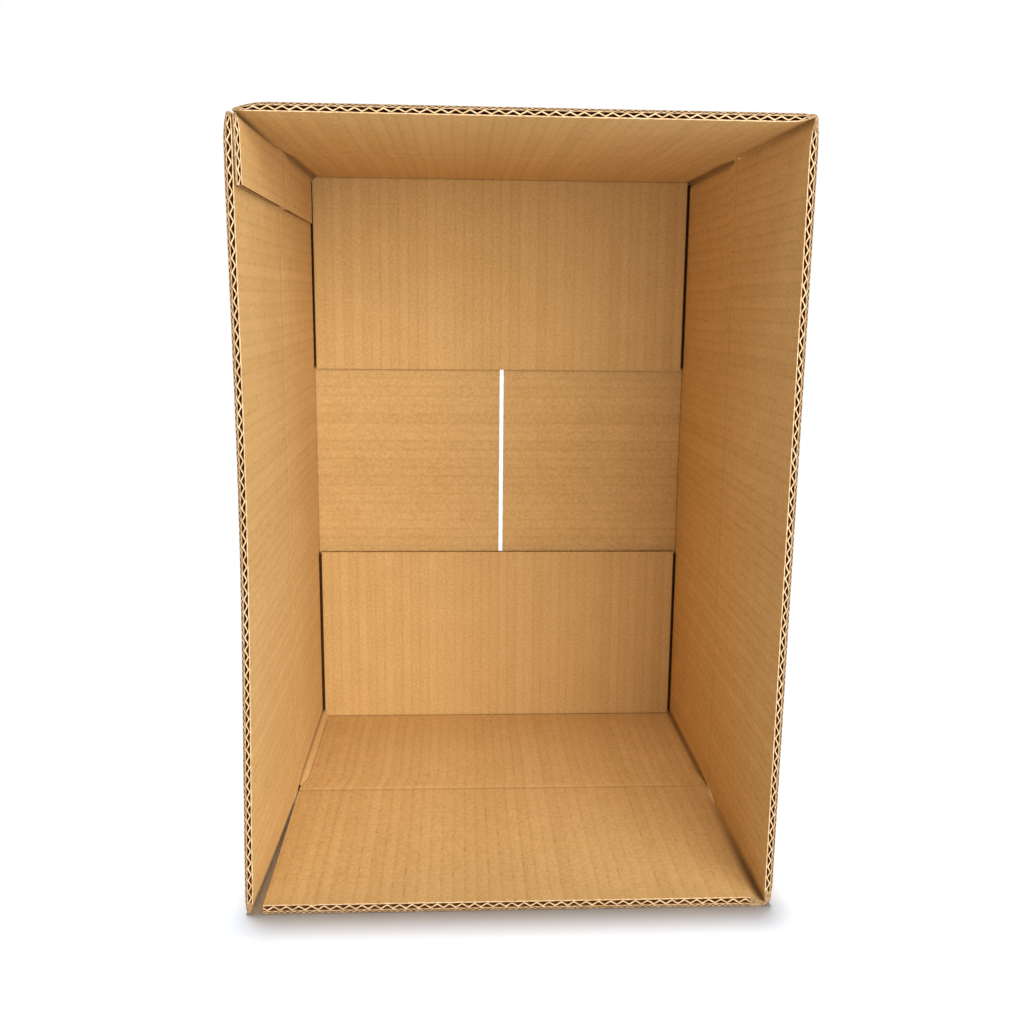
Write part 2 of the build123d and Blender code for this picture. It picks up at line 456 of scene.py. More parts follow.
class Slabs:
    """Closed slabs of paper gathered into one mesh."""

    def __init__(self) -> None:
        """Start with no slab."""
        self.points: list[Array] = []
        self.maps: list[Array] = []
        self.presses: list[Array] = []
        self.faces: list[Array] = []
        self.papers: list[Array] = []
        self.count = 0

    def add(
        self,
        low: Array,
        high: Array,
        uv: Array,
        low_paper: Paper,
        high_paper: Paper,
        edge_papers: Paper | tuple[Paper, Paper, Paper, Paper] = Paper.EDGE,
        press: Array | float = 0.0,
    ) -> None:
        """Add the slab between two grid surfaces, closed round its border by cut edges.

        The low and the high grid are joined by a ring of quads round the border. Where the grid
        runs left-handed, every quad is turned over, so that faces point outwards.

        Args:
            low, high: grids of points, rows by columns by 3.
            uv: the board's map at each grid point, rows by columns by 2.
            low_paper, high_paper: materials of the two faces.
            edge_papers: material of the border, or one each for its first column, last row, last
                column and first row.
            press: how dark the low face is painted, as shade, from 0 to 1, at each grid point.
        """
        rows, columns = low.shape[:2]
        index = np.arange(rows * columns).reshape(rows, columns)
        corners = [index[:-1, :-1], index[1:, :-1], index[1:, 1:], index[:-1, 1:]]
        sheet = np.stack(corners, axis=-1).reshape(-1, 4)
        border = np.concatenate([index[:-1, 0], index[-1, :-1], index[:0:-1, -1], index[0, :0:-1]])
        after = np.roll(border, -1)
        lift = rows * columns
        rim = np.stack([border, after, after + lift, border + lift], axis=-1)
        quads = np.concatenate([sheet[:, ::-1], sheet + lift, rim])
        across = low[1:, :-1] - low[:-1, :-1]
        along = low[:-1, 1:] - low[:-1, :-1]
        rise = (high - low)[:-1, :-1]
        if np.einsum("ijk,ijk->", np.cross(across, along), rise) < 0:
            quads = quads[:, ::-1]
        edge_counts = [rows - 1, columns - 1, rows - 1, columns - 1]
        edge_kinds = np.repeat(np.broadcast_to(edge_papers, 4), edge_counts)
        face_kinds = np.repeat([low_paper, high_paper], len(sheet))
        self.points += [low.reshape(-1, 3), high.reshape(-1, 3)]
        self.maps += [uv.reshape(-1, 2)] * 2
        self.faces.append(quads + self.count)
        self.papers.append(np.concatenate([face_kinds, edge_kinds]))
        self.presses += [np.broadcast_to(press, (rows, columns)).ravel(), np.zeros(lift)]
        self.count += 2 * lift

    def mesh_object(self, name: str, papers: Papers) -> bpy.types.Object:
        """Make the mesh and its object, at the origin, with sharp cut edges.

        Args:
            name: the piece's name.
            papers: materials in the order of Paper.
        Returns:
            The new object, linked to the scene.
        """
        points = np.concatenate(self.points)
        quads = np.concatenate(self.faces)
        mesh = bpy.data.meshes.new(name)
        mesh.vertices.add(len(points))
        mesh.vertices.foreach_set("co", points.astype(np.float32).ravel())
        mesh.loops.add(quads.size)
        mesh.loops.foreach_set("vertex_index", quads.astype(np.int32).ravel())
        mesh.polygons.add(len(quads))
        mesh.polygons.foreach_set("loop_start", np.arange(0, quads.size, 4, dtype=np.int32))
        mesh.polygons.foreach_set("material_index", np.concatenate(self.papers).astype(np.int32))
        mesh.polygons.foreach_set("use_smooth", np.ones(len(quads), bool))
        for paper in papers:
            mesh.materials.append(paper)
        layer = mesh.uv_layers.new(name=UV_MAP)
        maps = np.concatenate(self.maps)[quads.ravel()]
        layer.uv.foreach_set("vector", maps.astype(np.float32).ravel())
        # Painted shade, one value for each point, which the liner material reads.
        pressed = mesh.attributes.new(SHADE_MAP, "FLOAT", "POINT")
        pressed.data.foreach_set("value", np.concatenate(self.presses).astype(np.float32))
        mesh.update(calc_edges=True)
        mesh.set_sharp_from_angle(angle=SHARP)
        return linked(name, mesh)


@dataclass(frozen=True)
class FlapEnd:
    """Corner of a flap, crushed towards its outer face: solid board that presses on its neighbour.

    crush is the ramp's length before the cut, solid the part of it without flutes, reach the
    length past the cut. rise and droop say how far the inner and outer face close at the tip.
    The reach starts at slit_from and is whole at slit_to, both from the fold, and its tip waves by
    two sines, given as shares and turns. press is how dark its inner face is at the tip. keep, the
    share of its length meant to be left when pressed, is not used.
    """

    name: str
    sign: int
    crush: float = 0.009
    solid: float = 0.003
    reach: float = 0.003
    rise: float = 0.0022
    droop: float = 0.0006
    slit_from: float = 0.002
    slit_to: float = 0.014
    # Painted shade on the crushed end's inner face, at its darkest at the tip.
    press: float = 0.2
    keep: float = 0.3
    slack: float = 0.0009
    grip_share: float = 1.1
    columns: int = 13
    # Share of the end over which that painted shade grows.
    press_ramp: float = 0.7
    waves: tuple[tuple[float, float], ...] = ((0.1, 310.0), (0.07, 730.0))
    tip_from: float = 0.75
    tip_close: float = 0.35
    tip_lift: float = 0.2

    @property
    def grip(self) -> float:
        """Distance in from the cut side, so far in that its tip clears the wall when closed."""
        return max(self.solid, self.grip_share * self.reach - self.slack)


@dataclass(frozen=True)
class Lay:
    """How far a flap leaves its wall's plane at the rim: outward at its low and its high end.

    bow is how far its middle curves in between them.
    """

    low: float = 0.0
    high: float = 0.0
    bow: float = 0.0
    arch_power: float = 1.6

    def at(self, share: Array) -> Array:
        """Outward offset from the low to the high end: a straight line less a rounded arch."""
        arch = np.sin(pi * np.clip(share, 0, 1)) ** self.arch_power
        return self.low * (1 - share) + self.high * share - self.bow * arch


@dataclass
class Flap:
    """A flap of fluted board with its fold and its crushed ends.

    origin is on the inner face at the fold line, or at the inner corner of a folded base flap.
    s runs across the flutes, t from the fold to the free edge, n from the inner to the outer face.
    yields, meant as the share of its thickness that a soft strip keeps when pressed flat, only
    switches the crushed ends into the board's own mesh, and sprung is how much thicker the board
    stands where its free edge was cut. fold_bell and turn_bell are the middle and the width of the
    fold's dip, as shares of the fold, straight or turned. per_flute counts stations on the inner
    liner, the other liners, the main and the fine medium.
    """

    name: str
    body: str
    node: str | None
    side: Side
    board: Board
    origin: Array
    along: Array
    outward: Array
    low: float
    high: float
    length: float
    fold: float
    flare: float = 0.0
    sprung: float = 0.0
    lay: Lay = field(default_factory=Lay)
    dents: tuple[float, ...] = ()
    ends: tuple[FlapEnd, ...] = ()
    joint: str | None = None
    fold_dip: float = 0.00015
    fold_back: float = 0.0006
    # Painted shade along the fold line.
    fold_press: float = 0.12
    bare: tuple[float, float] | None = None
    low_edge: Paper = Paper.EDGE
    yields: float | None = None
    turn_radius: float = 0.0004
    crush_ramp: float = 0.012
    spring_ramp: float = 0.03
    swell_ramp: float = 0.01
    slot_ramp: float = 0.002
    # Painted shade in the slots beside the inner base flaps.
    slot_press: float = 0.9
    lay_power: float = 1.5
    near_steps: tuple[float, ...] = (0.0, 0.002, 0.005, 0.009, 0.014)
    far_from: float = 0.024
    far_steps: int = 6
    per_flute: tuple[int, int, int, int] = (6, 2, 12, 16)
    fold_grid: tuple[int, int] = (181, 25)
    fold_bell: tuple[float, float] = (0.0, 0.36)
    turn_bell: tuple[float, float] = (-0.25, 0.16)
    bend_reach: float = 0.95
    turn_reach: float = 1.4
    ragged: float = 0.00005
    ragged_turns: tuple[float, float] = (530.0, 1370.0)

    @property
    def across(self) -> Array:
        """Unit vector across the flutes."""
        return self.side.across

    @property
    def folded(self) -> bool:
        """Whether the flap stands square to its wall."""
        return abs(self.outward @ self.side.outward) < 0.5

    def edge(self, end: FlapEnd) -> float:
        """Where an end's cut side lies across the flap."""
        return self.high if end.sign > 0 else self.low

    def flat(self, s: Array, t: Array, n: Array) -> Array:
        """Points of the plane frame at board coordinates."""
        run = s[..., None] * self.across + t[..., None] * self.along
        return self.origin + run + n[..., None] * self.outward

    def place(self, s: Array, t: Array, n: Array) -> Array:
        """Points of the flap at rest.

        The plane frame, with the level spread near the free edge, pressed outwards by the crushed
        ends, and carried out of the wall's plane by a power of t where the flap doesn't lie straight.

        Args:
            s, t, n: grids of board coordinates.
        Returns:
            Points, with one more axis of 3.
        """
        thick = self.board.thickness
        past = np.clip(t / self.length, 0, 1) ** self.lay_power
        spread = 1 + self.sprung / thick * ease(t, self.length - self.spring_ramp, self.length)
        level = thick - (thick - n) * spread
        for end in self.ends:
            near = end.sign * (s - self.edge(end))
            share = np.clip((near + end.crush) / (end.crush + end.reach), 0, 1) ** 2
            share = share * ease(t, self.fold, self.fold + self.crush_ramp)
            inward = end.rise * (1 - level / thick) - end.droop * level / thick
            level = level + share * inward
        mix = (s - self.low) / (self.high - self.low)
        return self.flat(s, t, level + past * self.lay.at(mix))

    def place_fold(self, s: Array, t: Array, n: Array) -> Array:
        """Points round the fold, where t below zero is on the wall.

        Straight for a flap in line with its wall. For a folded flap the sheet turns through a
        quarter circle about a line just inside the inner corner.

        Args:
            s, t, n: grids of board coordinates.
        Returns:
            Points, with one more axis of 3.
        """
        if not self.folded:
            return self.flat(s, t, n)
        arc = self.fold / 2
        wall_out = self.side.outward
        angle = np.clip(-t / arc, 0, 1) * pi / 2
        out = np.cos(angle)[..., None] * self.outward + np.sin(angle)[..., None] * wall_out
        centre = self.origin - self.turn_radius * (self.outward + wall_out)
        on_flap, on_wall = np.clip(t, 0, None)[..., None], np.clip(-t - arc, 0, None)[..., None]
        run = (1 - self.turn_radius / self.fold) * (on_flap * self.along + on_wall * FRONT)
        return centre + s[..., None] * self.across + run + (self.turn_radius + n)[..., None] * out

    def uv(self, s: Array, t: Array) -> Array:
        """The board's map: flutes counted across, and the same measure along."""
        return np.stack([s / self.board.pitch, (t + self.length) / self.board.pitch], axis=-1)

    def stations(self) -> Array:
        """Stations from the fold to the free edge, closer near the fold."""
        near = self.fold + np.array(self.near_steps)
        return np.concatenate([near, np.linspace(self.far_from, self.length, self.far_steps)])

    def limits(self) -> tuple[float, float]:
        """Ends of the fluted part across the flap, short of the solid ends."""
        low, high = (sum(end.solid for end in self.ends if end.sign == sign) for sign in (-1, 1))
        return self.low + low, self.high - high

    def grid(self, per_flute: float, t: Array) -> tuple[Array, Array]:
        """Board coordinates on a grid that has a station on every glue line.

        Args:
            per_flute: stations for each flute.
            t: stations along the flutes.
        Returns:
            Grids of s and t. The free edge is a little uneven, by two slow sines.
        """
        low, high = self.limits()
        step = self.board.pitch / per_flute
        margin = 0.2
        first, last = np.ceil(low / step + margin), np.floor(high / step - margin)
        inside = np.arange(first, last + 1) * step
        s, t = np.meshgrid(np.concatenate([[low], inside, [high]]), t, indexing="ij")
        cut = t >= self.length - 1e-9
        s = s + self.flare * (self.high - s) / (self.high - self.low) * np.clip(t / self.length, 0, 1)
        slow, fast = self.ragged_turns
        uneven = self.ragged * (np.sin(s * slow) + np.sin(s * fast + 1))
        return s, np.where(cut, t + uneven, t)

    def add_board(self, slabs: Slabs) -> None:
        """Add the five sheets of the board: three liners and two fluted mediums.

        Args:
            slabs: the mesh to add to.
        """
        board, t = self.board, self.stations()
        inner_count, liner_count, *medium_counts = self.per_flute
        s, t_grid = self.grid(inner_count, t)
        uv = self.uv(s, t_grid)
        ramp = ease(t_grid, self.fold, self.fold + self.swell_ramp)
        swell = board.pillows(s) * ramp - board.dents(s, self.dents)
        inner = self.place(s, t_grid, -swell), self.place(s, t_grid, board.inner_liner - swell)
        edges = (Paper.INNER, Paper.EDGE, Paper.EDGE, self.low_edge)
        slabs.add(*inner, uv, Paper.INNER, Paper.MEDIUM, edges)
        s, t_grid = self.grid(liner_count, t)
        uv = self.uv(s, t_grid)
        for levels, high_paper, edge in (
            ((board.crest, board.shelf), Paper.MEDIUM, edges),
            ((board.roof, board.thickness), Paper.OUTER, Paper.RIND),
        ):
            faces = (self.place(s, t_grid, np.full_like(s, level)) for level in levels)
            slabs.add(*faces, uv, Paper.MEDIUM, high_paper, edge)
        sparse = np.concatenate([t[1:5:2], t[6::2], t[-1:]])
        for fine, count in zip((False, True), medium_counts):
            s, t_grid = self.grid(count, sparse)
            faces = (self.place(s, t_grid, level) for level in board.medium(s, fine))
            slabs.add(*faces, self.uv(s, t_grid), Paper.MEDIUM, Paper.MEDIUM, Paper.EDGE)

    def add_fold(self, slabs: Slabs) -> None:
        """Add the fold: one strip of crushed board, dipped along the fold line on both faces.

        The dip is a bell curve of t on the inner face and a lower one on the outer face, and shade is
        painted dark along it. On a folded flap it lies in the middle of the turn, and the outer face
        stays whole. Beyond its bare part the strip lies in a deep slot, painted dark as its shade.

        Args:
            slabs: the mesh to add to.
        """
        reach = self.fold
        start = -1.5 * reach if self.folded else -reach
        columns, rows = self.fold_grid
        stations = np.linspace(self.low, self.high, columns), np.linspace(start, reach, rows)
        s, t = np.meshgrid(*stations, indexing="ij")
        middle, width = self.turn_bell if self.folded else self.fold_bell
        dip = bell(t, middle * reach, width * reach)
        back = 0 if self.folded else self.fold_back
        inner = self.place_fold(s, t, self.fold_dip * dip + self.board.dents(s, self.dents))
        outer = self.place_fold(s, t, self.board.thickness - back * dip)
        # Painted shade along the dip, and deep painted shade in the slots past the bare part.
        press = self.fold_press * dip
        if self.bare:
            low, high = self.bare
            slots = ease(s, low, low - self.slot_ramp) + ease(s, high, high + self.slot_ramp)
            press = press + self.slot_press * slots
        edges = (Paper.INNER, Paper.EDGE, Paper.INNER, Paper.EDGE)
        slabs.add(inner, outer, self.uv(s, t), Paper.INNER, Paper.OUTER, edges, np.clip(press, 0, 1))

    def add_end(self, slabs: Slabs, end: FlapEnd) -> None:
        """Add a crushed end: a slab from the last flute to the tip, whose faces close on each other.

        Args:
            slabs: the mesh to add to.
            end: which end, and how it is crushed.
        """
        share, t = np.meshgrid(np.linspace(0, 1, end.columns), self.stations(), indexing="ij")
        open_share = ease(t, end.slit_from, end.slit_to)
        uneven = sum((size * np.sin(t * turns) for size, turns in end.waves), 1)
        whole = end.solid + end.reach * open_share * uneven
        s = self.edge(end) + end.sign * (share * whole - end.solid)
        past = np.clip((share - end.tip_from) / (1 - end.tip_from), 0, 1)
        tip = end.tip_close * self.board.thickness * past**2
        low = self.place(s, t, tip * end.tip_lift)
        high = self.place(s, t, self.board.thickness - tip)
        # Painted shade on the end's inner face, growing towards its tip and towards the free edge.
        press = end.press * ease(share, 0.0, end.press_ramp) * ease(t, 0.0, self.length)
        edges = (Paper.INNER, Paper.EDGE, Paper.RIND, Paper.INNER)
        slabs.add(low, high, self.uv(s, t), Paper.INNER, Paper.OUTER, edges, press)

    def build(self, papers: Papers) -> list[bpy.types.Object]:
        """Build and dress the flap's pieces.

        Args:
            papers: materials in the order of Paper.
        Returns:
            The board, then its fold and its crushed ends.
        """
        slabs = Slabs()
        self.add_board(slabs)
        if self.joint is None:
            self.add_fold(slabs)
        if self.yields:
            for end in self.ends:
                self.add_end(slabs, end)
        board = slabs.mesh_object(f"{self.name}_board", papers)
        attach(board, self.body)
        if self.node:
            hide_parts(self.node)
        made = [board]
        if self.joint:
            made.append(self.build_fold(papers))
        if self.yields:
            anchor = tuple(self.origin + self.board.thickness * self.outward)
            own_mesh(board)
        elif self.joint:
            made += [self.build_end(end, papers) for end in self.ends]
        return made

    def build_fold(self, papers: Papers) -> bpy.types.Object:
        """Build the fold as a piece of its own, between the walls and the flap.

        Args:
            papers: materials in the order of Paper.
        Returns:
            The strip.
        """
        slabs = Slabs()
        self.add_fold(slabs)
        strip = slabs.mesh_object(f"{self.name}_fold", papers)
        spread = np.array([-self.turn_reach if self.folded else -self.bend_reach, self.bend_reach])
        start, end = self.place_fold(np.zeros(2), self.fold * spread, np.zeros(2))
        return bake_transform(strip)

    def build_end(self, end: FlapEnd, papers: Papers) -> bpy.types.Object:
        """Build a crushed end as a piece of its own, attached to the flap's body.

        Args:
            end: which end, and how it is crushed.
            papers: materials in the order of Paper.
        Returns:
            The end.
        """
        slabs = Slabs()
        self.add_end(slabs, end)
        piece = slabs.mesh_object(f"{self.name}_{end.name}_end", papers)
        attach(piece, self.body)
        held = self.edge(end) - end.sign * end.grip
        anchor = tuple(self.origin + held * self.across)
        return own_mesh(piece, self.joint, axis=tuple(self.across), anchor=anchor, keep=end.keep)


@dataclass(frozen=True)
class Corner:
    """A fold between two walls: its size and the form of the pressed strip inside it.

    size is a share of the usual radius. recess sinks the strip's middle below a straight cut
    across the corner, and the two grooves sink its edges, first and last along the ring. press is
    how dark the strip is painted, as shade in the fold, and 0 leaves it plain between two dark
    lines of painted shade, each given by its strength, place and width. Places and widths are
    shares of the turn.
    """

    size: float = 1.0
    recess: float = 0.0016
    first_groove: float = 0.0003
    last_groove: float = 0.0003
    press: float = 0.7
    press_power: float = 1.3
    lines: tuple[tuple[float, float, float], ...] = ((0.15, 0.05, 0.1), (0.6, 0.9, 0.13))
    groove_places: tuple[float, float] = (0.08, 0.92)
    groove_width: float = 0.12
    stations: int = 27

    def press_at(self, share: Array) -> Array:
        """How dark shade is painted across the corner: a half sine, or bell curves on its two lines."""
        lines = sum(dark * bell(share, *at) for dark, *at in self.lines)
        return self.press * np.sin(pi * share) ** self.press_power + (0 if self.press else lines)

    def level(self, share: Array) -> Array:
        """Depth of the strip's face across the corner: a half sine and two bell curves."""
        first, last = (bell(share, place, self.groove_width) for place in self.groove_places)
        return self.recess * np.sin(pi * share) + self.first_groove * first + self.last_groove * last


@dataclass
class Run:
    """Stations round the sleeve's ring, as arrays with one row for each station.

    point is on the inner face, as if every corner were sharp, in X and Z. pull shifts it for each
    metre of corner radius. flat and round are outward directions, cut straight across or turned
    round at a corner. turn is the corner's size, or 0 on a wall. face is the inner face's level.
    squeeze is how much thinner the sheet is at the back, and front and back are the ring's ends
    along Y.
    """

    point: Array
    pull: Array
    flat: Array
    round: Array
    face: Array
    across: Array
    thick: Array | float
    front: Array | float
    back: Array | float
    squeeze: Array | float
    turn: Array | float = 0.0
    # Painted shade on the inner face at each station.
    press: Array | float = 0.0

    @classmethod
    def join(cls, runs: list["Run"]) -> "Run":
        """Put runs end to end.

        Args:
            runs: runs in which what is given once holds for every station.
        Returns:
            The whole run, with a row of its own for every station.
        """
        pairs, rows = ("point", "pull", "flat", "round"), {}
        for name in cls.__dataclass_fields__:
            width = (2,) if name in pairs else ()
            given = [(getattr(run, name), (len(run.across), *width)) for run in runs]
            rows[name] = np.concatenate([np.broadcast_to(*row) for row in given])
        return cls(**rows)


@dataclass(frozen=True)
class Wall:
    """A wall of the ring: its side, its front and back along Y, and its share of the thickness."""

    side: Side
    front: float
    back: float
    thick: float = 1.0

    @property
    def out(self) -> Array:
        """Unit vector out of the box, in X and Z."""
        return self.side.outward[[0, 2]]


@dataclass
class Sleeve:
    """The four walls, their corners and the glue tab: one sheet, folded round and glued.

    The ring starts at the tab's free edge, runs up, across the top, down the right wall, back
    along the lower wall and up the left wall, behind the tab. points are the ends of its walls on
    their inner faces, and middle is the mouth's, all in X and Z. depths are shares of the way from
    front to back: the corners turn from the mouth's radius to the full one before radius_depth,
    and all that follows is straight.
    """

    board: Board
    points: Array
    walls: list[Wall]
    middle: Array
    lower_dents: tuple[float, ...]
    per_flute: int = 6
    depths: tuple[float, ...] = (0, 0.03, 0.07, 0.12, 0.2, 1)
    radius_depth: float = 0.14
    radius: float = 0.0034
    radius_at_mouth: float = 0.0012
    corner_overrun: float = 0.007
    tab_squeeze: float = 0.0014
    middle_rounding: float = 0.8
    fine_rounding: float = 0.9
    top_left: Corner = Corner(recess=0.0021)
    top_right: Corner = Corner(recess=0.0023)
    low_right: Corner = Corner(size=0.8, recess=0.0019)
    low_left: Corner = Corner(
        size=1.4, recess=-0.0003, first_groove=0.0008, last_groove=0.0024, press=0
    )

    def panel(self, start: Array, stop: Array, wall: Wall, ends: tuple[float, float]) -> Run:
        """Stations of a flat wall, evenly spaced, with some for each flute.

        Args:
            start, stop: corners of the inner face, in X and Z.
            wall: the wall.
            ends: sizes of the corners where the run starts and stops, 0 at a free edge.
        Returns:
            The run.
        """
        length = np.linalg.norm(stop - start)
        direction = (stop - start) / length
        share = np.linspace(0, 1, int(round(length / self.board.pitch * self.per_flute)))
        along = start + np.outer(share * length, direction)
        across = (along - self.middle) @ wall.side.across[[0, 2]]
        dents = self.lower_dents if wall.side is Side.LOWER else ()
        return Run(
            point=along,
            pull=np.outer(ends[0] * (1 - share) - ends[1] * share, direction),
            flat=wall.out,
            round=wall.out,
            face=self.board.dents(across, dents) - self.board.pillows(across),
            thick=wall.thick,
            squeeze=self.tab_squeeze if wall.thick < 1 else 0.0,
            front=wall.front,
            back=wall.back,
            across=across,
        )

    def turning(self, corner: Corner, point: Array, before: Wall, after: Wall) -> Run:
        """Stations of a corner, turned from one wall to the next.

        Args:
            corner: the fold's form.
            point: where the two inner faces meet, in X and Z.
            before, after: the walls.
        Returns:
            The run, which stops short of both walls' ends.
        """
        share = np.linspace(0, 1, corner.stations)[1:-1]
        angle = share * pi / 2
        return Run(
            point=point,
            pull=-corner.size * (before.out + after.out),
            flat=np.outer(1 - share, before.out) + np.outer(share, after.out),
            round=np.outer(np.cos(angle), before.out) + np.outer(np.sin(angle), after.out),
            turn=corner.size,
            face=corner.level(share),
            press=corner.press_at(share),
            thick=before.thick + (after.thick - before.thick) * share,
            squeeze=(1 - share) * (self.tab_squeeze if before.thick < 1 else 0),
            front=max(before.front, after.front),
            back=max(before.back, after.back) + self.corner_overrun,
            across=share,
        )

    def ring(self) -> Run:
        """The whole ring: a panel for each wall, with a turned corner between two.

        Returns:
            The run, from the tab's free edge to the left wall's.
        """
        corners = (self.top_left, self.top_right, self.low_right, self.low_left)
        sizes = [0, *(corner.size for corner in corners), 0]
        runs = [self.panel(*self.points[:2], self.walls[0], sizes[:2])]
        for i, corner in enumerate(corners, 1):
            runs.append(self.turning(corner, self.points[i], *self.walls[i - 1 : i + 1]))
            runs.append(self.panel(*self.points[i : i + 2], self.walls[i], sizes[i : i + 2]))
        return Run.join(runs)

    def layer(self, run: Run, level: Array, rounding: float) -> Array:
        """Grid of points of one face of a sheet, round the ring and along Y.

        Each station moves out by its level along its outward direction. At a corner the direction
        is mixed from the straight cut to the round turn, about a centre set in by the radius. A
        sheet with a squeeze closes on its outer face in proportion to the depth.

        Args:
            run: the ring's stations.
            level: distance from the inner face for each station.
            rounding: 0 cuts corners straight and 1 turns them round.
        Returns:
            Points, stations by depth by 3.
        """
        share = np.array(self.depths)
        grown = ease(share, 0.0, self.radius_depth)
        radius = self.radius_at_mouth + (self.radius - self.radius_at_mouth) * grown
        out = (1 - rounding) * run.flat + rounding * run.round
        shift = run.pull + run.turn[:, None] * out
        closing = np.outer(run.squeeze, share)
        reach = (level * run.thick)[:, None] + closing * (1 - level / self.board.thickness)[:, None]
        flat = run.point[:, None, :] + reach[..., None] * out[:, None, :]
        flat = flat + radius[None, :, None] * shift[:, None, :]
        depth = run.front[:, None] + (run.back - run.front)[:, None] * share
        return np.stack([flat[..., 0], depth, flat[..., 1]], axis=-1)

    def add_sheets(self, slabs: Slabs) -> None:
        """Add the three liners and the two fluted mediums of the ring.

        Args:
            slabs: the mesh to add to.
        """
        run, board = self.ring(), self.board
        on_wall, zero = run.turn == 0, 0 * run.across
        main = (np.where(on_wall, level, board.crest) for level in board.medium(run.across, False))
        fine = (np.where(on_wall, level, board.shelf) for level in board.medium(run.across, True))
        # The ring's first row, the glue tab's free edge, takes the dark paper of painted shadow.
        edges = (Paper.INNER, Paper.INNER, Paper.RIND, Paper.CREASE)
        hidden = (Paper.MEDIUM, Paper.MEDIUM)
        # The inner liner carries the shade painted in the corners.
        inner = (Paper.INNER, Paper.MEDIUM, edges, run.press[:, None])
        for low, high, rounding, papers in (
            (run.face, run.face + board.inner_liner, 0.0, inner),
            (zero + board.crest, zero + board.shelf, self.middle_rounding, (*hidden, edges)),
            (zero + board.roof, zero + board.thickness, 1.0, (Paper.MEDIUM, Paper.OUTER, edges)),
            (*main, self.middle_rounding, hidden),
            (*fine, self.fine_rounding, hidden),
        ):
            low_grid, high_grid = self.layer(run, low, rounding), self.layer(run, high, rounding)
            across = np.broadcast_to((run.across / board.pitch)[:, None], low_grid.shape[:2])
            uv = np.stack([across, low_grid[..., 1] / board.pitch], axis=-1)
            slabs.add(low_grid, high_grid, uv, *papers)

    def build(self, papers: Papers) -> list[bpy.types.Object]:
        """Build and dress the sleeve as one piece that stands for the CAD sleeve.

        Args:
            papers: materials in the order of Paper.
        Returns:
            The piece, in a list.
        """
        slabs = Slabs()
        self.add_sheets(slabs)
        piece = slabs.mesh_object("sleeve_board", papers)
        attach(piece, "walls")
        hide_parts("wall_sleeve")
        return [piece]


@dataclass(frozen=True)
class Softbox:
    """A rectangular lamp that faces the box, with its width, its height and its power."""

    name: str
    place: tuple[float, float, float]
    size: tuple[float, float]
    power: float
    aim: tuple[float, float, float] = (0.0, 0.0, 0.15)

    def add(self, receivers: bpy.types.Collection) -> None:
        """Hang the lamp.

        Args:
            receivers: collection that says which objects it lights.
        """
        lamp = bpy.data.lights.new(self.name, "AREA")
        lamp.shape = "RECTANGLE"
        lamp.size, lamp.size_y = self.size
        lamp.energy = self.power
        box = linked(self.name, lamp)
        box.location = self.place
        box.rotation_euler = (Vector(self.aim) - box.location).to_track_quat("-Z", "Y").to_euler()
        box.light_linking.receiver_collection = receivers


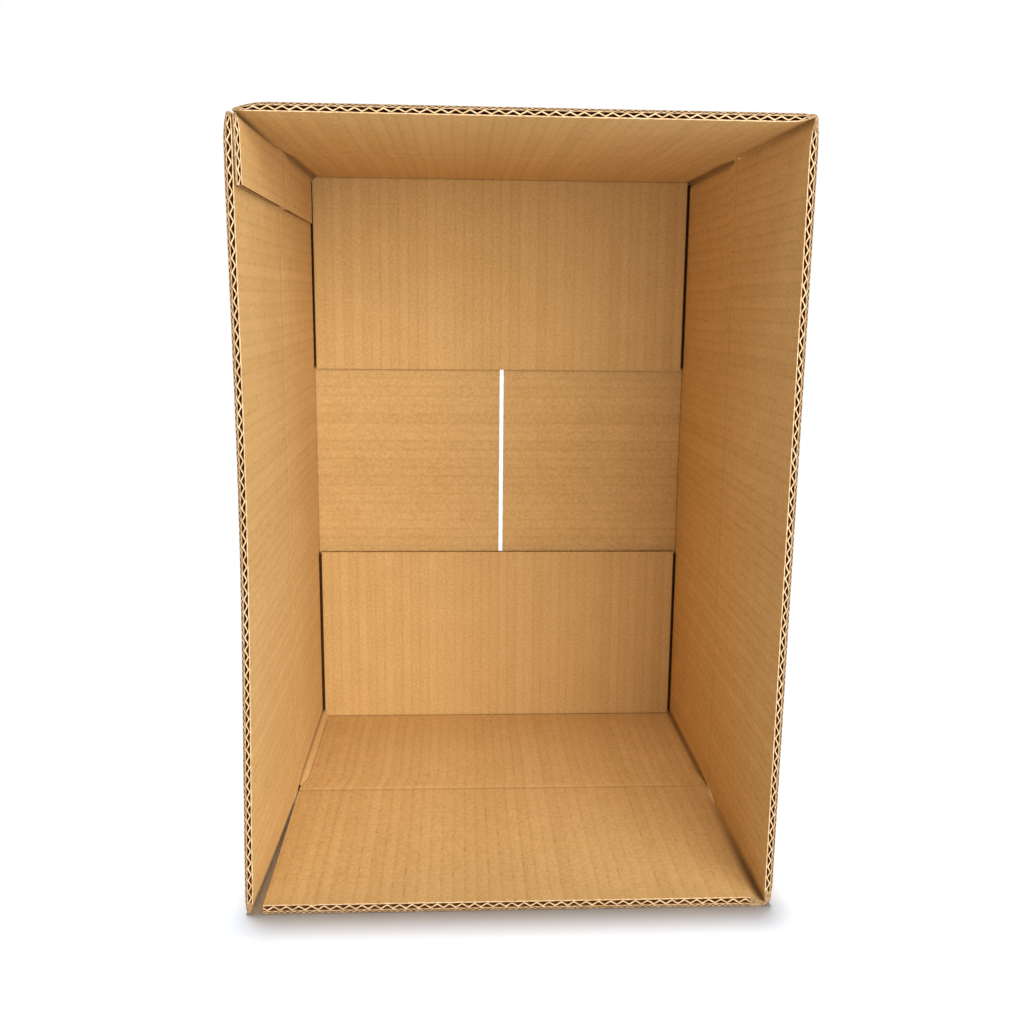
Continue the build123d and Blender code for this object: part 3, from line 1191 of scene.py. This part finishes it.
@dataclass(frozen=True)
class Studio:
    """White floor and backdrop, soft light from the front right, and the photograph's camera."""

    camera_place: tuple[float, float, float] = (-0.0288, -0.6448, 0.3087)
    turn_right: float = radians(2.832)
    tilt_down: float = radians(11.03)
    roll: float = radians(0.564)
    lens: float = 38.27
    sensor: float = 36.0
    near_clip: float = 0.01
    floor_size: float = 8.0
    floor_drop: float = 0.0002
    floor_colour: Colour = srgb(240, 247, 255)
    sky: float = 0.25
    key: Softbox = Softbox("key", (1.025, -1.88, 0.656), (2.4, 1.1), 53.0)
    fill: Softbox = Softbox("fill", (0.11, -1.257, 1.952), (1.6, 0.7), 21.0)
    sun_strength: float = 2.85
    sun_angle: float = radians(4.5)
    sun_tilt: float = radians(-2.0)

    def add_camera(self) -> None:
        """Camera at the photograph's place: turned about Z, tilted down, then rolled."""
        data = bpy.data.cameras.new("camera")
        data.lens = self.lens
        data.sensor_width = self.sensor
        data.clip_start = self.near_clip
        camera = linked("camera", data)
        turn = Matrix.Rotation(-self.turn_right, 4, "Z")
        tilt = Matrix.Rotation(pi / 2 - self.tilt_down, 4, "X")
        roll = Matrix.Rotation(self.roll, 4, "Z")
        camera.matrix_world = Matrix.Translation(self.camera_place) @ turn @ tilt @ roll
        bpy.context.scene.camera = camera

    def add_floor(self) -> bpy.types.Object:
        """Pale floor under the box.

        Returns:
            The floor.
        """
        half = self.floor_size / 2
        corners = [(-half, -half), (half, -half), (half, half), (-half, half)]
        mesh = bpy.data.meshes.new("floor")
        mesh.from_pydata([(x, y, -self.floor_drop) for x, y in corners], [], [(0, 1, 2, 3)])
        paper = Graph(bpy.data.materials.new("floor_paper"))
        mesh.materials.append(
            paper.surface(Base_Color=self.floor_colour, Roughness=1.0, Specular_IOR_Level=0.0)
        )
        floor = linked("floor", mesh)
        return floor

    def add_light(self, floor: bpy.types.Object) -> None:
        """Even sky, white to the camera, two soft boxes in front and a far lamp over the floor.

        Args:
            floor: lit by the far lamp instead of the soft boxes, so that the rim's shadow stays.
        """
        sky = Graph(bpy.data.worlds.new("studio"))
        strength = self.sky + (1 - self.sky) * sky.node("ShaderNodeLightPath", output="Is Camera Ray")
        light = sky.node("ShaderNodeBackground", {"Color": (1, 1, 1, 1), "Strength": strength})
        bpy.context.scene.world = sky.finish(light, "ShaderNodeOutputWorld")
        names = ("all_but_floor", "only_floor")
        all_but_floor, only_floor = (bpy.data.collections.new(name) for name in names)
        for group, state in ((all_but_floor, "EXCLUDE"), (only_floor, "INCLUDE")):
            group.objects.link(floor)
            group.collection_objects[0].light_linking.link_state = state
        for box in (self.key, self.fill):
            box.add(all_but_floor)
        lamp = bpy.data.lights.new("overhead", "SUN")
        lamp.energy = self.sun_strength
        lamp.angle = self.sun_angle
        overhead = linked("overhead", lamp)
        overhead.rotation_euler = (self.sun_tilt, 0, 0)
        overhead.light_linking.receiver_collection = only_floor

    def build(self) -> None:
        """Set the stage and the plain view transform."""
        self.add_light(self.add_floor())
        self.add_camera()
        bpy.context.scene.view_settings.view_transform = "Standard"


class Carton:
    """The whole box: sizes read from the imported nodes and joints, then every piece."""

    mouth_fold: float = 0.0045
    tab_fold: float = 0.008
    base_fold: float = 0.004
    tab_width: float = 0.031
    seam_drop: float = 0.0012
    flute_dent: float = -0.1035
    lower_dent: float = -0.0485
    upper_dent: float = -0.084

    def __init__(self) -> None:
        """Read faces, fold lines and the board's thickness from the frame."""
        boxes = {name: [np.array(corner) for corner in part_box(name)] for name in frame["nodes"]}
        self.boxes = boxes
        self.folds = {joint["name"]: np.array(joint["pos_m"]) for joint in frame["joints"]}
        base_low, base_high = boxes["left_outer_base_flap"]
        self.board = Board(thickness=base_high[1] - base_low[1])
        thick = self.board.thickness
        low, high = boxes["wall_sleeve"][0] + thick, boxes["wall_sleeve"][1] - thick
        self.faces = {Side.LEFT: low[0], Side.RIGHT: high[0], Side.LOWER: low[2], Side.UPPER: high[2]}
        self.middle = np.array([0.0, 0.0, (low[2] + high[2]) / 2])
        self.tab_face = boxes["left_mouth_flap"][1][0]
        self.tab_edge = high[2] - self.tab_width
        self.tab_thick = self.tab_face - low[0]
        self.side_floor = base_low[1]
        self.end_floor = boxes["upper_inner_base_flap"][0][1]

    def face(self, side: Side) -> Array:
        """Point on a wall's inner face, at the middle of the wall and at depth zero."""
        return self.middle * np.abs(side.across) + self.faces[side] * np.abs(side.outward)

    def mouth_flap(self, side: Side, **looks) -> Flap:
        """Flap in line with its wall at the mouth.

        Args:
            side: the wall that it hangs on.
            looks: fields of Flap that say how it lies and how its ends are crushed.
        Returns:
            The flap, with its sizes from its node and joint.
        """
        name = side.name.lower()
        node, joint = f"{name}_mouth_flap", f"{name}_mouth_fold"
        low, high = self.boxes[node]
        fold_y = self.folds[joint][1]
        return Flap(
            name=f"{name}_flap",
            body=f"{name}_flap",
            node=node,
            side=side,
            board=self.board,
            origin=self.face(side) + fold_y * BACK,
            along=FRONT,
            outward=side.outward,
            low=(low - self.middle) @ side.across,
            high=(high - self.middle) @ side.across,
            length=fold_y - low[1],
            fold=self.mouth_fold,
            joint=joint,
            **looks,
        )

    def base_flap(
        self, side: Side, dents: tuple[float, ...] = (), widen: float = 0.0, lengthen: float = 0.0
    ) -> Flap:
        """Flap folded in over the base: inside from an end wall, outside from a side wall.

        Args:
            side: the wall that it hangs on.
            dents: places of the grooves along its flutes.
            widen: how far its first side reaches past the node.
            lengthen: how far its free edge does.
        Returns:
            The flap, with its sizes from its node.
        """
        name = side.name.lower()
        outer = side in (Side.LEFT, Side.RIGHT)
        node = f"{name}_outer_base_flap" if outer else f"{name}_inner_base_flap"
        low, high = self.boxes[node]
        corner = self.face(side) + (self.side_floor if outer else self.end_floor) * BACK
        free = low if side in (Side.UPPER, Side.RIGHT) else high
        return Flap(
            name=f"{name}_base",
            body=f"{name}_base" if outer else "walls",
            node=node,
            side=side,
            board=self.board,
            origin=corner,
            along=-side.outward,
            outward=BACK,
            low=(low - self.middle) @ side.across - widen,
            high=(high - self.middle) @ side.across,
            length=abs((free - corner) @ side.outward) + lengthen,
            fold=self.base_fold,
            fold_dip=0.0006,
            # Painted shade along the base fold.
            fold_press=0.5,
            bare=self.bare_base if outer else None,
            dents=dents,
            joint=f"{name}_base_fold" if outer else None,
        )

    def tab_strip(self, left: Flap) -> Flap:
        """The glue tab's end that lies on the left mouth flap.

        Args:
            left: the flap that carries it.
        Returns:
            A strip of pressed board on the flap's inner face.
        """
        return replace(
            left,
            name="glue_tab",
            node=None,
            board=Board(self.tab_thick, fine_layer=0.001, inner_liner=0.0004),
            origin=left.origin + self.tab_thick * Side.RIGHT.outward,
            low=self.tab_edge - self.middle[2],
            fold=self.tab_fold,
            lay=Lay(low=-0.0013, high=-0.0009),
            # The tab's upper end carries dark painted shade.
            ends=(FlapEnd("upper", 1, solid=0.002, reach=0.0003, rise=0.0013, droop=0.0, press=0.8),),
            fold_back=0.0,
            # Painted shadow: the tab's lower cut edge takes the dark paper.
            low_edge=Paper.CREASE,
            yields=0.5,
        )

    @property
    def bare_base(self) -> tuple[float, float]:
        """Ends of the part of the outer base flaps that the inner ones leave bare, along Z."""
        low = self.boxes["lower_inner_base_flap"][1][2] - self.middle[2]
        return low, self.boxes["upper_inner_base_flap"][0][2] - self.middle[2]

    def sleeve(self) -> Sleeve:
        """The walls and the tab, which start and stop short of every fold.

        Returns:
            The sleeve, with its ring from the tab's free edge to the left wall's.
        """
        left, right, lower, upper = self.faces.values()
        points = [
            (self.tab_face, self.tab_edge),
            (self.tab_face, upper),
            (right, upper),
            (right, lower),
            (left, lower),
            (left, upper + self.board.thickness - self.seam_drop),
        ]
        names = ("left", "right", "lower")
        left_fold, right_fold, end_fold = (self.folds[f"{name}_mouth_fold"][1] for name in names)
        end_front, end_back = end_fold + self.mouth_fold, self.end_floor - self.base_fold
        side_back = self.side_floor - self.base_fold
        walls = [
            Wall(Side.LEFT, left_fold + self.tab_fold, end_back, self.tab_thick / self.board.thickness),
            Wall(Side.UPPER, end_front, end_back),
            Wall(Side.RIGHT, right_fold + self.mouth_fold, side_back),
            Wall(Side.LOWER, end_front, end_back),
            Wall(Side.LEFT, left_fold + self.mouth_fold, side_back),
        ]
        return Sleeve(self.board, np.array(points), walls, self.middle[[0, 2]], (self.flute_dent,))

    def parts(self) -> list[Flap | Sleeve]:
        """Every sub-assembly, with how each flap of this carton lies and is crushed.

        Returns:
            The sleeve, the mouth flaps, the tab and the base flaps.
        """
        lower = self.mouth_flap(
            Side.LOWER,
            flare=0.001,
            sprung=0.0011,
            fold_dip=0.0004,
            # Painted shade along the mouth fold.
            fold_press=0.1,
            dents=(self.flute_dent,),
            ends=(
                FlapEnd(
                    "right", 1, crush=0.01, solid=0.007, reach=0.0022, rise=0.003, droop=0.0, press=0.8
                ),
            ),
        )
        upper = self.mouth_flap(
            Side.UPPER,
            lay=Lay(low=0.0007),
            ends=(
                FlapEnd("right", 1, crush=0.01, solid=0.0008, reach=0.0042, rise=0.0026, droop=0.0004),
                FlapEnd("left", -1, crush=0.014, solid=0.002, reach=0.003, rise=0.0, droop=0.0032),
            ),
        )
        right = self.mouth_flap(
            Side.RIGHT,
            lay=Lay(high=0.0006),
            ends=(
                FlapEnd("upper", 1, crush=0.014, rise=0.002, droop=0.0008, press=0.4),
                FlapEnd(
                    "lower", -1, reach=0.0028, rise=0.0002, droop=0.001, slit_from=0.008, slit_to=0.02
                ),
            ),
        )
        left = self.mouth_flap(
            Side.LEFT,
            lay=Lay(low=0.0034, high=-0.0006, bow=0.0021),
            ends=(
                FlapEnd("upper", 1, crush=0.012, solid=0.0012, reach=0.0008, rise=0.0006, droop=0.0016),
                FlapEnd("lower", -1, crush=0.006, solid=0.0015, reach=0.0036, rise=0.0012),
            ),
        )
        bases = [
            self.base_flap(Side.LOWER, dents=(self.flute_dent, self.lower_dent)),
            self.base_flap(Side.UPPER, dents=(self.upper_dent,), widen=0.0034),
            self.base_flap(Side.LEFT, lengthen=0.0005),
            self.base_flap(Side.RIGHT, lengthen=0.0007),
        ]
        return [self.sleeve(), lower, upper, right, left, self.tab_strip(left), *bases]


def main() -> None:
    """Build the papers, every part of the box and the studio, and report each piece."""
    logging.basicConfig(level=logging.INFO, format="%(message)s")
    papers = [
        KraftLiner("inner_liner").material(),
        KraftLiner(
            "outer_liner",
            deep=srgb(190, 142, 88),
            pale=srgb(222, 174, 118),
            lines_per_flute=2.0,
            line_strength=0.12,
            dash_strength=0.0,
        ).material(),
        CutPaper("cut_edge", srgb(236, 206, 164), srgb(204, 164, 116)).material(),
        CutPaper("fluted_medium", srgb(148, 96, 46), srgb(114, 70, 30), glow=0.06).material(),
        # Grey-brown for the outer liner's cut edges, darker than the pulp: painted shade of the narrow
        # fine flutes beside them.
        CutPaper("outer_edge", srgb(188, 154, 114), srgb(140, 108, 76)).material(),
        # Dark brown paper for the glue tab's lower cut edge: painted shadow.
        CutPaper("pressed_crease", srgb(104, 68, 34), srgb(72, 46, 20)).material(),
    ]
    for part in Carton().parts():
        for piece in part.build(papers):
            log.info("%s: %d quads", piece.name, len(piece.data.polygons))
    Studio().build()


if __name__ == "__main__":
    main()
